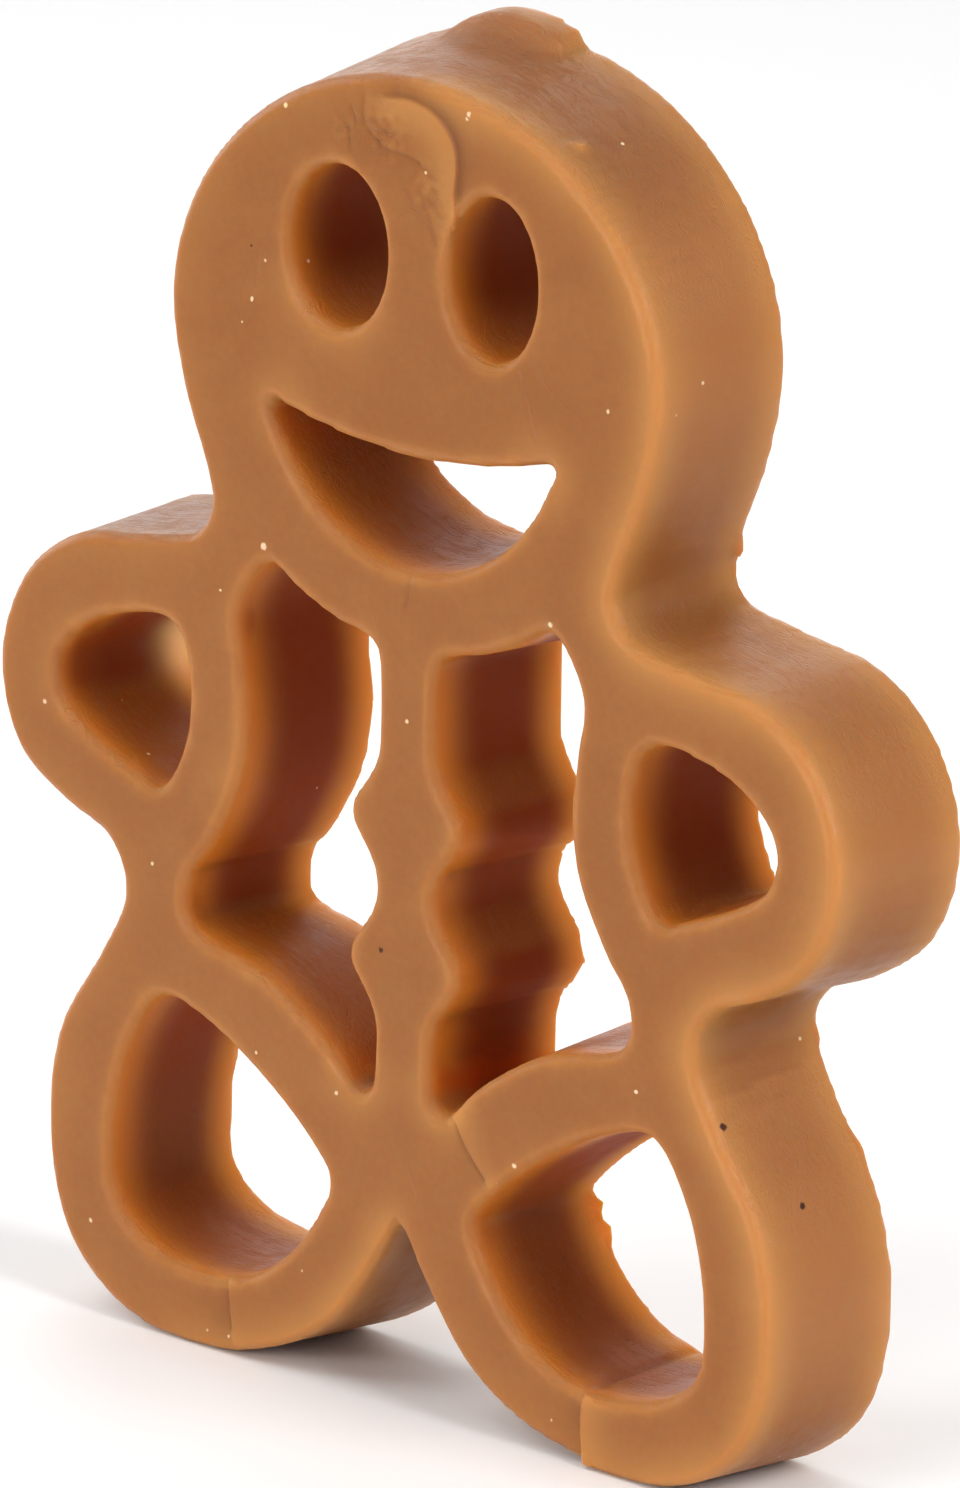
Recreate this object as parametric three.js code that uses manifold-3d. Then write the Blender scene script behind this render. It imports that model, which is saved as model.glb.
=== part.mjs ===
// A thick moulded gingerbread-man chew in one piece: a round head with two eyes and a smile,
// mitten arms and rounded legs, all drawn as thick bands round nine through-holes.
// Millimetres, +Z up, face toward -Y, standing on two small flats under the feet.
import * as THREE from 'three';
import { mergeVertices } from 'three/addons/utils/BufferGeometryUtils.js';
import Module from 'manifold-3d';

// Thickness of the slab and the way its walls run from the face to the back
const THICKNESS = 13.7;
const FACE_ROUND = 1.0;
const FACE_SWELL = 0.4;
const BACK_SWELL = 1.0;
const BACK_ROUND = 0.35;
const BACK_STRETCH = 0.0316;
const STRETCH_FROM = 50;
const ROUND_STEPS = 3;

// Head
const HEAD_TOP = 107.4;
const HEAD_MIDDLE = 86.5;
const HEAD_HALF = 25.9;
const CROWN_TURNS = [22, 40, 58, 75];
const NECK_HALF = 21.2;
const NECK_Z = 70.6;

// Arms: the armpit at -X sits a little higher
const ARM_REACH = 45.1;
const ARM_Z = 54.3;
const SHOULDER_Z = 66.3;
const ARMPIT_Z = 41.6;
const LEFT_ARMPIT_LIFT = 0.6;

// Waist and legs: the hip at -X is a little fuller
const WAIST_HALF = 30.6;
const WAIST_Z = 37.4;
const LEG_REACH = 39.2;
const LEFT_HIP_FULLNESS = 0.5;
const LEG_Z = 16.1;
const FOOT_X = 23.8;
const FOOT_Z = 1.8;
const CROTCH_Z = 17.4;
const FOOT_CUT = 1.6;

// Eyes: the one at -X came out of the mould a little wider
const EYE_Z = 93.5;
const EYE_HALF_HEIGHT = 6.9;
const LEFT_EYE = { x: -8.05, halfWidth: 5.75 };
const RIGHT_EYE = { x: 8.5, halfWidth: 5.15 };

// Smile: two arcs that meet in two corners
const SMILE_HALF = 16.2;
const SMILE_CORNER_Z = 81.2;
const SMILE_UPPER_SAG = 2.5;
const SMILE_LOWER_SAG = 12.4;
const SMILE_CORNER_ROUND = 0.9;
const SMILE_STATIONS = [-1, -0.93, -0.8, -0.6, -0.3, 0, 0.3, 0.6, 0.8, 0.93, 1];

// Spine between the torso holes, with a swelling at each of its two buttons
const SPINE_HALF = 2.75;
const BUTTON_SWELL = 2.9;
const BUTTON_HALF_HEIGHT = 4.7;
const BUTTONS_Z = [49.2, 37.6];
const BUTTON_STATIONS = [1, 0.62, 0, -0.62, -1];
const SPINE_TOP = 62.0;
const SPINE_FOOT = 27.6;

// The sideways walls of the arm and torso holes lean further than the others
const SIDE_LEAN = 0.7;

// Stub of the mould's gate at the back of the crown: a long ramp and a short, steep end,
// sloping down to the wall in front of it
const GATE_RAMP_X = -7.5;
const GATE_PEAK_X = 0.2;
const GATE_END_X = 5.6;
const GATE_RISE = 2.0;
const GATE_FULLNESS = 0.55;
const GATE_END_RISE = 0.6;
const GATE_FOOT = -1.1;
const GATE_DEPTH = 5.6;
const GATE_SLOPE_DEPTH = 3.4;
const GATE_SLOPE_STEPS = 4;
const GATE_SINK = 4.6;
const GATE_MARGIN = 0.4;

// Spacing of the points along an outline
const OUTLINE_POINTS = 176;
const EYE_POINTS = 28;
const SMILE_POINTS = 46;
const ARM_HOLE_POINTS = 34;
const TORSO_HOLE_POINTS = 76;
const LEG_HOLE_POINTS = 42;

// Largest part of a corner's radius that a wall may lean into it
const CORNER_LIMIT = 0.65;
const CORNER_SMOOTHING = 4;
const STRAIGHT = 1e-6;

// Vertices closer than this are one
const WELD = 1e-5;

const CARAMEL = 0xb0713c;

function smoothLoop(points, count) {
  const nodes = points.map(([x, z]) => new THREE.Vector3(x, z, 0));
  const curve = new THREE.CatmullRomCurve3(nodes, true, 'centripetal');
  curve.arcLengthDivisions = 2000;
  const spaced = curve.getSpacedPoints(count);
  spaced.pop();
  return spaced.map((p) => new THREE.Vector2(p.x, p.y));
}

function mirrored(points) {
  return points.map(([x, z]) => [-x, z]).reverse();
}

// Crown and cheeks as half an ellipse, then down one side to the crotch
function oneSide(armpitLift, hipFullness) {
  const crown = [];
  for (const degrees of CROWN_TURNS) {
    const turn = THREE.MathUtils.degToRad(degrees);
    const rise = (HEAD_TOP - HEAD_MIDDLE) * Math.cos(turn);
    crown.push([HEAD_HALF * Math.sin(turn), HEAD_MIDDLE + rise]);
  }
  const cheek = [
    [HEAD_HALF, HEAD_MIDDLE],
    [HEAD_HALF - 1.5, HEAD_MIDDLE - 7.0],
    [NECK_HALF + 0.6, NECK_Z + 2.8],
    [NECK_HALF, NECK_Z],
    [NECK_HALF + 1.5, NECK_Z - 2.6],
  ];
  const arm = [
    [ARM_REACH - 15.1, SHOULDER_Z],
    [ARM_REACH - 8.1, SHOULDER_Z - 1.2],
    [ARM_REACH - 2.8, ARM_Z + 7.0],
    [ARM_REACH, ARM_Z],
    [ARM_REACH - 2.1, ARM_Z - 7.1],
    [ARM_REACH - 7.5, ARMPIT_Z + 1.6 + armpitLift],
  ];
  const waist = [
    [WAIST_HALF + 1.9, ARMPIT_Z - 0.5 + armpitLift],
    [WAIST_HALF, WAIST_Z],
    [WAIST_HALF + 2.0 + hipFullness, WAIST_Z - 5.2],
  ];
  const leg = [
    [LEG_REACH - 1.5 + hipFullness, LEG_Z + 8.2],
    [LEG_REACH, LEG_Z],
    [LEG_REACH - 2.0, LEG_Z - 8.0],
    [LEG_REACH - 7.4, FOOT_Z + 1.7],
    [FOOT_X, FOOT_Z],
    [FOOT_X - 8.3, FOOT_Z + 1.4],
    [FOOT_X - 16.1, FOOT_Z + 5.5],
    [2.2, CROTCH_Z - 3.2],
  ];
  return [...crown, ...cheek, ...arm, ...waist, ...leg];
}

function outline() {
  const right = oneSide(0, 0);
  const left = mirrored(oneSide(LEFT_ARMPIT_LIFT, LEFT_HIP_FULLNESS));
  const points = [[0, HEAD_TOP], ...right, [0, CROTCH_Z], ...left];
  return smoothLoop(points, OUTLINE_POINTS);
}

function eye({ x, halfWidth }) {
  const loop = [];
  for (let i = 0; i < EYE_POINTS; i += 1) {
    const turn = (i / EYE_POINTS) * 2 * Math.PI;
    const across = halfWidth * Math.cos(turn);
    loop.push(new THREE.Vector2(x + across, EYE_Z + EYE_HALF_HEIGHT * Math.sin(turn)));
  }
  return loop;
}

// Height of an arc through both corners of the smile that sags by the given depth
function smileArc(x, sag) {
  const radius = (SMILE_HALF ** 2 + sag ** 2) / (2 * sag);
  const centre = SMILE_CORNER_Z - sag + radius;
  return centre - Math.sqrt(radius ** 2 - x ** 2);
}

function smile() {
  const inner = SMILE_HALF - SMILE_CORNER_ROUND;
  const stations = SMILE_STATIONS.map((station) => station * inner);
  const lower = stations.map((x) => [x, smileArc(x, SMILE_LOWER_SAG)]);
  const upper = stations.map((x) => [x, smileArc(x, SMILE_UPPER_SAG)]).reverse();
  const corner = SMILE_CORNER_Z - SMILE_CORNER_ROUND;
  return smoothLoop([...lower, [SMILE_HALF, corner], ...upper, [-SMILE_HALF, corner]], SMILE_POINTS);
}

// The holes below are drawn on the +X side and mirrored for the other one
function sided(points, side) {
  return side > 0 ? points : mirrored(points);
}

function armHole(side) {
  const points = [
    [26.9, 61.0],
    [31.4, 60.5],
    [35.9, 58.8],
    [39.2, 55.4],
    [38.7, 51.6],
    [34.4, 48.7],
    [29.8, 46.9],
    [27.2, 46.1],
    [25.0, 48.6],
    [23.6, 52.6],
    [23.7, 57.2],
    [25.0, 60.2],
  ];
  return smoothLoop(sided(points, side), ARM_HOLE_POINTS);
}

function spineEdge() {
  const edge = [[SPINE_HALF, SPINE_TOP]];
  for (const z of BUTTONS_Z) {
    for (const station of BUTTON_STATIONS) {
      const swell = (BUTTON_SWELL * (1 + Math.cos(Math.PI * station))) / 2;
      edge.push([SPINE_HALF + swell, z + station * BUTTON_HALF_HEIGHT]);
    }
  }
  edge.push([SPINE_HALF, SPINE_FOOT]);
  return edge.reverse();
}

function torsoHole(side) {
  const points = [
    ...spineEdge(),
    [SPINE_HALF + 0.5, 63.3],
    [7.7, 64.4],
    [11.6, 65.9],
    [15.2, 67.7],
    [16.3, 67.2],
    [19.1, 62.7],
    [18.6, 58.2],
    [18.1, 53.4],
    [18.9, 48.6],
    [22.2, 42.8],
    [24.2, 40.4],
    [24.5, 36.6],
    [23.0, 35.2],
    [15.4, 33.3],
    [7.9, 28.8],
    [5.2, 26.2],
    [3.2, 26.2],
  ];
  return smoothLoop(sided(points, side), TORSO_HOLE_POINTS);
}

function legHole(side) {
  const points = [
    [7.3, 18.6],
    [9.4, 21.3],
    [15.0, 25.6],
    [21.5, 29.0],
    [26.3, 30.2],
    [28.0, 29.4],
    [31.3, 24.0],
    [32.8, 17.4],
    [32.3, 11.6],
    [28.6, 8.6],
    [22.5, 7.4],
    [16.9, 8.1],
    [11.8, 11.4],
    [8.3, 16.0],
  ];
  return smoothLoop(sided(points, side), LEG_HOLE_POINTS);
}

function turnedTo(loop, clockwise) {
  const runsClockwise = THREE.ShapeUtils.isClockWise(loop);
  return runsClockwise === clockwise ? loop : loop.slice().reverse();
}

// Unit directions that point out of the solid, and how far the wall may follow each by the back
function outwardRule(loop, sideLean) {
  const count = loop.length;
  const directions = [];
  const leans = [];
  let limits = [];
  for (let i = 0; i < count; i += 1) {
    const before = loop[(i + count - 1) % count];
    const after = loop[(i + 1) % count];
    const along = after.clone().sub(before);
    const length = along.length();
    const direction = new THREE.Vector2(along.y, -along.x).divideScalar(length);
    directions.push(direction);
    leans.push(BACK_SWELL + sideLean * Math.abs(direction.x));
    const first = loop[i].clone().sub(before);
    const second = after.clone().sub(loop[i]);
    const bend = Math.atan2(first.cross(second), first.dot(second));
    const radius = length / 2 / Math.max(-bend, STRAIGHT);
    limits.push(Math.min(leans[i], CORNER_LIMIT * radius));
  }
  for (let pass = 0; pass < CORNER_SMOOTHING; pass += 1) {
    limits = limits.map((limit, i) => {
      const around = limits[(i + count - 1) % count] + limits[(i + 1) % count];
      return Math.min(limit, (around + limit) / 3);
    });
  }
  return { directions, leans, limits };
}

// Depth and swelling of each ring of a wall, from the face to the back
function wallProfile() {
  const rings = [];
  for (let i = 0; i <= ROUND_STEPS; i += 1) {
    const turn = (i / ROUND_STEPS) * (Math.PI / 2);
    const depth = FACE_ROUND * (1 - Math.cos(turn));
    rings.push({ depth, swell: FACE_SWELL - FACE_ROUND * (1 - Math.sin(turn)), leanShare: 0 });
  }
  rings.push({ depth: THICKNESS - BACK_ROUND, swell: 0, leanShare: 1 });
  rings.push({ depth: THICKNESS, swell: -BACK_ROUND, leanShare: 1 });
  return rings;
}

function wallPoint(point, direction, lean, limit, { depth, swell, leanShare }) {
  const step = Math.min(swell + leanShare * lean, limit);
  const x = point.x + direction.x * step;
  const flat = point.y + direction.y * step;
  const z = flat + Math.max(flat - STRETCH_FROM, 0) * BACK_STRETCH * (depth / THICKNESS);
  return new THREE.Vector3(x, depth - THICKNESS / 2, Math.max(z, FOOT_CUT) - FOOT_CUT);
}

// Rings of points down every wall, joined by quads, with a flat face and a flat back across them
function slabGeometry(outer, holes, leaningHoles) {
  const plain = [turnedTo(outer, false), ...holes.map((hole) => turnedTo(hole, true))];
  const leaning = leaningHoles.map((hole) => turnedTo(hole, true));
  const loops = [...plain, ...leaning];
  const rules = loops.map((loop) => outwardRule(loop, leaning.includes(loop) ? SIDE_LEAN : 0));
  const rings = wallProfile();
  const positions = [];
  const triangles = [];
  const firstOf = rings.map((ring) => loops.map((loop, which) => {
    const first = positions.length / 3;
    const { directions, leans, limits } = rules[which];
    loop.forEach((point, i) => {
      positions.push(...wallPoint(point, directions[i], leans[i], limits[i], ring).toArray());
    });
    return first;
  }));
  for (let ring = 0; ring + 1 < rings.length; ring += 1) {
    loops.forEach((loop, which) => {
      const near = firstOf[ring][which];
      const far = firstOf[ring + 1][which];
      for (let i = 0; i < loop.length; i += 1) {
        const next = (i + 1) % loop.length;
        triangles.push(near + i, far + i, far + next);
        triangles.push(near + i, far + next, near + next);
      }
    });
  }
  for (const [ring, facesBack] of [[0, false], [rings.length - 1, true]]) {
    const indices = loops.flatMap((loop, which) => loop.map((_, i) => firstOf[ring][which] + i));
    const flat = loops.map((loop, which) => loop.map((_, i) => {
      const at = 3 * (firstOf[ring][which] + i);
      return new THREE.Vector2(positions[at], positions[at + 2]);
    }));
    for (const [a, b, c] of THREE.ShapeUtils.triangulateShape(flat[0], flat.slice(1))) {
      const [p, q, r] = [indices[a], indices[b], indices[c]];
      triangles.push(...(facesBack ? [p, r, q] : [p, q, r]));
    }
  }
  const geometry = new THREE.BufferGeometry();
  geometry.setAttribute('position', new THREE.Float32BufferAttribute(positions, 3));
  geometry.setIndex(triangles);
  return geometry;
}

function gateGeometry() {
  const crown = HEAD_TOP + BACK_SWELL - BACK_ROUND + (HEAD_TOP - STRETCH_FROM) * BACK_STRETCH;
  const shape = new THREE.Shape();
  shape.moveTo(GATE_RAMP_X, -GATE_SINK);
  shape.lineTo(GATE_END_X, -GATE_SINK);
  shape.lineTo(GATE_END_X, GATE_END_RISE);
  shape.quadraticCurveTo(GATE_FULLNESS * GATE_END_X, GATE_RISE, GATE_PEAK_X, GATE_RISE);
  shape.quadraticCurveTo(GATE_FULLNESS * GATE_RAMP_X, GATE_RISE, GATE_RAMP_X, GATE_FOOT);
  const geometry = new THREE.ExtrudeGeometry(shape, {
    depth: GATE_DEPTH,
    steps: GATE_SLOPE_STEPS,
    bevelEnabled: false,
    curveSegments: 6,
  });
  const position = geometry.attributes.position;
  for (let i = 0; i < position.count; i += 1) {
    const ahead = Math.max(position.getZ(i) - (GATE_DEPTH - GATE_SLOPE_DEPTH), 0);
    const fall = (1 - Math.cos((Math.PI * ahead) / GATE_SLOPE_DEPTH)) / 2;
    position.setY(i, position.getY(i) - fall * (GATE_RISE + GATE_MARGIN));
  }
  geometry.rotateX(Math.PI / 2);
  geometry.translate(0, THICKNESS / 2 - BACK_ROUND, crown - FOOT_CUT);
  return geometry;
}

const wasm = await Module();
wasm.setup();

function solid(geometry) {
  const bare = geometry.clone();
  bare.deleteAttribute('normal');
  bare.deleteAttribute('uv');
  const merged = mergeVertices(bare, WELD);
  const vertProperties = new Float32Array(merged.attributes.position.array);
  const triVerts = new Uint32Array(merged.index.array);
  return new wasm.Manifold(new wasm.Mesh({ numProp: 3, vertProperties, triVerts }));
}

function fromSolid(body) {
  const mesh = body.getMesh();
  const geometry = new THREE.BufferGeometry();
  geometry.setAttribute('position', new THREE.Float32BufferAttribute(mesh.vertProperties, 3));
  geometry.setIndex(new THREE.Uint32BufferAttribute(mesh.triVerts, 1));
  geometry.computeVertexNormals();
  return geometry;
}

const plainHoles = [eye(LEFT_EYE), eye(RIGHT_EYE), smile(), legHole(-1), legHole(1)];
const leaningHoles = [armHole(-1), armHole(1), torsoHole(-1), torsoHole(1)];

const slab = solid(slabGeometry(outline(), plainHoles, leaningHoles));
const figureSolid = slab.add(solid(gateGeometry()));
const chew = new THREE.MeshStandardMaterial({ color: CARAMEL, roughness: 0.45, metalness: 0 });

const figure = new THREE.Mesh(fromSolid(figureSolid), chew);
figure.name = 'gingerbread_man';

const part = new THREE.Group();
part.add(figure);

export default part;
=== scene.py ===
# %% [markdown]
# A gingerbread man, moulded in one piece as a thick chew treat.
#
# The real thing is a waxy, caramel-brown slab that lets some light through, about as thick as a
# finger. It was poured or pressed into a mould, so the face is the smaller side, the walls lean out
# toward the back, and the back edge carries the thin flash and the stub that the mould left. This
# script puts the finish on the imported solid: a fine skin with the mould's marks in it, and a
# material that lets light in and out again.

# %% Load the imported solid
import math

import bmesh
import bpy
import numpy as np
from mathutils import Matrix, Vector, noise


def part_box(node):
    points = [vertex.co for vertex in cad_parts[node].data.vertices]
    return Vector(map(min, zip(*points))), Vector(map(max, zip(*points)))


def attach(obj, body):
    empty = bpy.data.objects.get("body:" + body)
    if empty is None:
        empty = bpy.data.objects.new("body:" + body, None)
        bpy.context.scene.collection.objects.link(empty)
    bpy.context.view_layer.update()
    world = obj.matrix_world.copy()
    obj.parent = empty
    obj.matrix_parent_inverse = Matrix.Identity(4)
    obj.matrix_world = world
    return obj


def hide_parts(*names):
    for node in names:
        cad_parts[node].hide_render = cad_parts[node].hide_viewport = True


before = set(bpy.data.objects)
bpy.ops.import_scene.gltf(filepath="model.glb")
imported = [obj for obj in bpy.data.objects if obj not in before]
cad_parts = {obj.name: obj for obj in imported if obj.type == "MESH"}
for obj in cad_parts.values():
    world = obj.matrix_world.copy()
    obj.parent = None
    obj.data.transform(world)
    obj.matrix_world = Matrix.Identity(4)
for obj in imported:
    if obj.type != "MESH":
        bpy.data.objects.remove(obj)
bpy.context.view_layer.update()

MM = 0.001
NODE = "gingerbread_man"
low_corner, high_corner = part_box(NODE)
FACE_Y = low_corner.y / MM
BACK_Y = high_corner.y / MM
THICKNESS = BACK_Y - FACE_Y
print("figure measures", [round(side / MM, 1) for side in high_corner - low_corner], "mm")

# %% [markdown]
# The skin comes first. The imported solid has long, thin triangles, which can't hold a dent or a fold.
# A voxel remesh gives it an even coat of small quads that follows its form. Smoothing then takes
# away the corners that the outline's straight steps left. Plain smoothing would shrink the bands, so
# every inward round is followed by a slightly stronger outward one.

# %% Remesh the solid into an even skin
SKIN_STEP = 0.62
WELD = 1e-6


def evenly_remeshed(node, name):
    mesh = node.data.copy()
    work = bmesh.new()
    work.from_mesh(mesh)
    bmesh.ops.remove_doubles(work, verts=work.verts, dist=WELD)
    work.to_mesh(mesh)
    work.free()
    piece = bpy.data.objects.new(name, mesh)
    bpy.context.scene.collection.objects.link(piece)
    remesh = piece.modifiers.new("even_skin", "REMESH")
    remesh.mode = "VOXEL"
    remesh.voxel_size = SKIN_STEP * MM
    bpy.context.view_layer.update()
    graph = bpy.context.evaluated_depsgraph_get()
    fine = bpy.data.meshes.new_from_object(piece.evaluated_get(graph))
    piece.modifiers.clear()
    piece.data = fine
    bpy.data.meshes.remove(mesh)
    piece.data.materials.clear()
    return piece


figure = evenly_remeshed(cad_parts[NODE], "chew_figure")
print("skin has", len(figure.data.vertices), "points and", len(figure.data.polygons), "quads")


# %% Read and write the skin's points as arrays, in millimetres
def read_points():
    places = np.empty(len(figure.data.vertices) * 3)
    figure.data.vertices.foreach_get("co", places)
    return places.reshape(-1, 3) / MM


def write_points(places):
    figure.data.vertices.foreach_set("co", (places * MM).ravel())
    figure.data.update()


def read_normals():
    directions = np.empty(len(figure.data.vertices) * 3)
    figure.data.vertices.foreach_get("normal", directions)
    return directions.reshape(-1, 3)


def read_edges():
    ends = np.empty(len(figure.data.edges) * 2, int)
    figure.data.edges.foreach_get("vertices", ends)
    return ends.reshape(-1, 2)


def neighbour_mean(values, ends):
    total = np.zeros_like(values)
    np.add.at(total, ends[:, 0], values[ends[:, 1]])
    np.add.at(total, ends[:, 1], values[ends[:, 0]])
    shape = (-1,) + (1,) * (values.ndim - 1)
    return total / np.bincount(ends.ravel(), minlength=len(values)).reshape(shape)


def averaged(values, rounds, share=0.5):
    for _ in range(rounds):
        values = (1.0 - share) * values + share * neighbour_mean(values, edges)
    return values


def smooth_step(low, high, value):
    share = np.clip((value - low) / (high - low), 0.0, 1.0)
    return share * share * (3.0 - 2.0 * share)


# %% Smooth the skin without shrinking it
SMOOTHING_PAIRS = 7
INWARD = 0.5
OUTWARD = -0.53

points = read_points()
edges = read_edges()
for _ in range(SMOOTHING_PAIRS):
    for share in (INWARD, OUTWARD):
        points = points + share * (neighbour_mean(points, edges) - points)
points[:, 2] = np.maximum(points[:, 2], 0.0)
write_points(points)
print("smoothed skin spans", np.ptp(points, axis=0).round(2), "mm")

# %% [markdown]
# The mould's marks are next. On the real chew they are small: a flap on the forehead where the mass
# flowed over itself, seams where two streams met below the mouth, in the crotch and in the feet, and
# creases in the corners of the holes. All of them are drawn as short lines on the face, so the
# lines come first, and the skin is then made four times finer beside them.

# %% Lines of the forehead, as places across and up in millimetres
FLAP = [
    (4.6, 98.0), (4.6, 98.9), (4.8, 100.3), (4.5, 101.9),
    (3.5, 103.2), (2.0, 104.2), (-0.1, 104.7), (-1.4, 104.6),
]
FLAP_CREASE = [
    (-5.1, 104.2), (-5.2, 102.4), (-4.5, 101.7), (-3.3, 100.7),
    (-1.8, 100.5), (-0.2, 100.4), (0.9, 100.0),
]
FLAP_CREASE_END = [(0.9, 100.0), (1.6, 99.3), (2.8, 98.9)]
WRINKLES = [
    [(2.4, 98.2), (2.9, 97.8), (3.4, 97.0)],
    [(0.9, 98.2), (1.5, 97.0), (2.0, 95.7), (2.8, 94.0)],
    [(-6.7, 101.6), (-6.7, 100.6), (-6.5, 99.8)],
    [(-6.5, 103.3), (-6.2, 102.8), (-6.0, 102.2)],
    [(-4.2, 102.7), (-3.3, 102.1), (-2.0, 101.7)],
    [(-2.9, 102.8), (-2.0, 102.0), (-1.4, 101.2)],
    [(2.3, 97.0), (3.0, 96.5), (3.6, 95.9)],
]

# %% Rough patches of the forehead: place across, place up, reach
ROUGH_PATCHES = [(-2.6, 102.0, 2.2), (1.6, 97.6, 2.0), (-7.2, 101.2, 1.2), (3.6, 95.6, 1.2)]

# %% Lines of the seams
CROTCH_SEAM = [(6.1, 24.8), (6.4, 24.3), (7.1, 23.2), (8.2, 22.0), (9.4, 20.9)]
RIGHT_FOOT_SEAM = [(20.6, 6.4), (20.1, 5.2), (19.9, 3.6), (20.2, 1.0)]
LEFT_FOOT_SEAM = [(-18.9, 6.8), (-18.7, 5.4), (-18.6, 4.2), (-18.3, 2.4)]
CHIN_SEAM = [(0.4, 67.6), (0.5, 66.6), (0.1, 65.0)]
PATCH_LINES = [[(x - 1.0, z), (x + 1.0, z)] for x, z, _ in ROUGH_PATCHES]
SEAMS = [CROTCH_SEAM, RIGHT_FOOT_SEAM, LEFT_FOOT_SEAM, CHIN_SEAM]
FINE_LINES = [FLAP, FLAP_CREASE, FLAP_CREASE_END, *WRINKLES, *PATCH_LINES, *SEAMS]


# %% Distance from the skin to a line, with the side of the line that a point is on
def rounded_line(line, rounds=3):
    line = [np.array(place, float) for place in line]
    for _ in range(rounds):
        cut = [line[0]]
        for a, b in zip(line, line[1:]):
            cut += [0.75 * a + 0.25 * b, 0.25 * a + 0.75 * b]
        line = cut + [line[-1]]
    return line


def distance_to_line(line, across, up):
    nearest = np.full(len(across), 1e9)
    side = np.zeros(len(across))
    for (x0, z0), (x1, z1) in zip(line, line[1:]):
        dx, dz = x1 - x0, z1 - z0
        length = math.hypot(dx, dz)
        along = np.clip(((across - x0) * dx + (up - z0) * dz) / length**2, 0.0, 1.0)
        gap = np.hypot(across - x0 - along * dx, up - z0 - along * dz)
        turn = (dx * (up - z0) - dz * (across - x0)) / length
        side = np.where(gap < nearest, turn, side)
        nearest = np.minimum(gap, nearest)
    return nearest, side


# %% Make the skin finer beside the lines
FINE_REACH = [1.5, 1.0]


def finer_beside(piece, lines, reach):
    work = bmesh.new()
    work.from_mesh(piece.data)
    work.verts.ensure_lookup_table()
    places = np.array([point.co for point in work.verts]) / MM
    gap = np.full(len(places), 1e9)
    for line in lines:
        gap = np.minimum(gap, distance_to_line(line, places[:, 0], places[:, 2])[0])
    near = (gap < reach) & (places[:, 1] < FACE_Y + 0.8)
    chosen = [edge for edge in work.edges if near[edge.verts[0].index] and near[edge.verts[1].index]]
    bmesh.ops.subdivide_edges(work, edges=chosen, cuts=1, use_grid_fill=True)
    work.to_mesh(piece.data)
    work.free()


for reach in FINE_REACH:
    finer_beside(figure, FINE_LINES, reach)
points = read_points()
edges = read_edges()
normals = read_normals()
point_count = len(points)
triangle_count = sum(len(face.vertices) - 2 for face in figure.data.polygons)
print("finer skin has", point_count, "points and", triangle_count, "triangles")

# %% [markdown]
# Each mark is a height over the skin that depends on the distance to its line: a valley for a
# crease, and for a seam or a flap a step that is sharp on one side and runs out softly on the
# other. Heights add up, so every mark can be tried alone and the skin is moved only once.

# %% Measure which way the skin looks
toward_face = smooth_step(0.55, 0.9, -normals[:, 1])
toward_back = smooth_step(0.55, 0.9, normals[:, 1])
on_wall = np.clip(1.0 - toward_face - toward_back, 0.0, 1.0)
depth = points[:, 1] - FACE_Y
shares = [round(float(part.mean()), 2) for part in (toward_face, toward_back, on_wall)]
print("share of face, back and wall:", shares)


# %% Helpers for the relief
FLAP_EDGE = 0.14


def valley(line, width, low):
    gap, _ = distance_to_line(rounded_line(line), points[:, 0], points[:, 2])
    return -low * np.exp(-((gap / width) ** 2))


def flap(line, high, high_reach, low, low_reach):
    gap, side = distance_to_line(rounded_line(line), points[:, 0], points[:, 2])
    left = 0.5 + 0.5 * np.tanh(side / FLAP_EDGE)
    raised = high * np.exp(-((gap / high_reach) ** 2))
    sunk = low * np.exp(-((gap / low_reach) ** 2))
    return left * raised - (1.0 - left) * sunk


def waves(size, tall, where=None):
    heights = np.zeros(point_count)
    chosen = range(point_count) if where is None else np.flatnonzero(where > 0.01)
    for i in chosen:
        heights[i] = tall * noise.noise(Vector(points[i]) / size)
    return heights if where is None else heights * where


# %% Waviness of the whole skin
WALL_WAVE_SHARE = 0.3

height_over_skin = waves(size=11.0, tall=0.1) * (toward_face + WALL_WAVE_SHARE * on_wall)
height_over_skin += waves(size=4.2, tall=0.02)
print("skin waves by up to", round(float(np.abs(height_over_skin).max()), 2), "mm")

# %% Relief of the face: for each crease its width and depth, for each flap both sides
VALLEYS = [
    (FLAP_CREASE, 0.2, 0.13),
    (FLAP_CREASE_END, 0.18, 0.1),
    (CROTCH_SEAM, 0.2, 0.16),
    (RIGHT_FOOT_SEAM, 0.24, 0.12),
    (LEFT_FOOT_SEAM, 0.22, 0.12),
    (CHIN_SEAM, 0.24, 0.1),
]
FLAPS = [
    (FLAP, 0.36, 2.6, 0.2, 1.5),
    (FLAP_CREASE, 0.06, 1.0, 0.04, 1.0),
    (CROTCH_SEAM, 0.12, 2.2, 0.06, 1.6),
    (RIGHT_FOOT_SEAM, 0.26, 2.6, 0.1, 1.8),
    (LEFT_FOOT_SEAM, 0.02, 1.6, 0.14, 2.2),
]
WRINKLE_WIDTH = 0.22
WRINKLE_LOW = 0.09

on_face = np.zeros(point_count)
for line, width, low in VALLEYS:
    on_face += valley(line, width, low)
for line, high, high_reach, low, low_reach in FLAPS:
    on_face += flap(line, high, high_reach, low, low_reach)
for wrinkle in WRINKLES:
    on_face += valley(wrinkle, WRINKLE_WIDTH, WRINKLE_LOW)

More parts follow.
